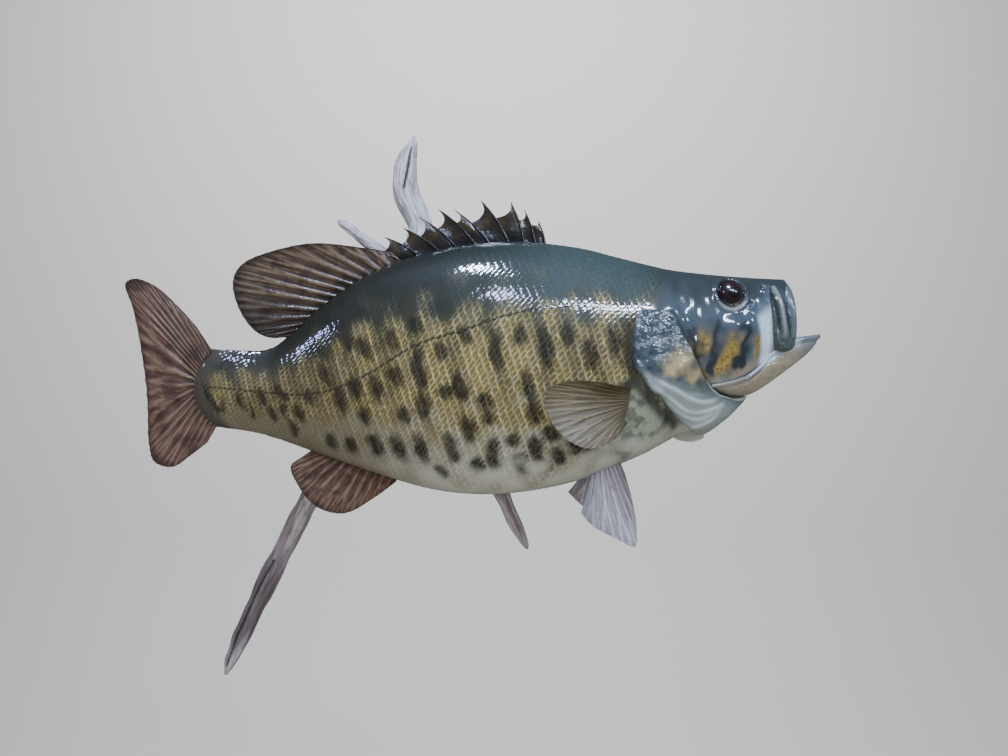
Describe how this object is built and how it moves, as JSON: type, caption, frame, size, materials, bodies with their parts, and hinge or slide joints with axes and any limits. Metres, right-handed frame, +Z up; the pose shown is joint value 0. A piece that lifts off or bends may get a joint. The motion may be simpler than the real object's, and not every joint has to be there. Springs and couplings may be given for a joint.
{
  "type": "mounted smallmouth bass",
  "caption": "Life-size skin mount of a smallmouth bass, mouth open and fins spread, held side-on to a wall by a forked limb of pale driftwood.",
  "frame": {"origin": "the middle of the hanger plate's rear face, on the wall plane behind the fork of the driftwood", "axes": "+Y points into the wall and is the hanger face's outward normal; +X is the way the fish faces and its longest extent; +Z is up"},
  "size_m": [0.4487, 0.1115, 0.3936],
  "materials": {
    "scaled_skin": "dried fish skin, painted and clear-coated to a wet gloss",
    "fin_web": "dried fin membrane over stiff rays, painted and clear-coated",
    "glass_eye": "clear domed taxidermy eye, dark red iris behind it",
    "driftwood": "bare weathered driftwood, silver grey and matt",
    "hanger_steel": "plain zinc-plated steel"
  },
  "bodies": {
    "root": {"head": "scaled_skin", "upper_jaw": "scaled_skin", "maxilla_right": "scaled_skin", "maxilla_left": "scaled_skin", "lower_jaw": "scaled_skin", "gill_cover_right": "scaled_skin", "gill_cover_left": "scaled_skin", "eye_right": "glass_eye", "eye_left": "glass_eye", "trunk": "scaled_skin", "tail_stock": "scaled_skin", "dorsal_fin_spiny": "fin_web", "dorsal_fin_soft": "fin_web", "anal_fin": "fin_web", "tail_fin": "fin_web", "pectoral_fin_right": "fin_web", "pectoral_fin_left": "fin_web", "pelvic_fin_right": "fin_web", "pelvic_fin_left": "fin_web", "driftwood_limb": "driftwood", "driftwood_top_branch": "driftwood", "driftwood_side_branch": "driftwood", "driftwood_low_branch": "driftwood", "hanger_plate": "hanger_steel", "hanger_screw_top": "hanger_steel", "hanger_screw_bottom": "hanger_steel"}
  },
  "joints": []
}
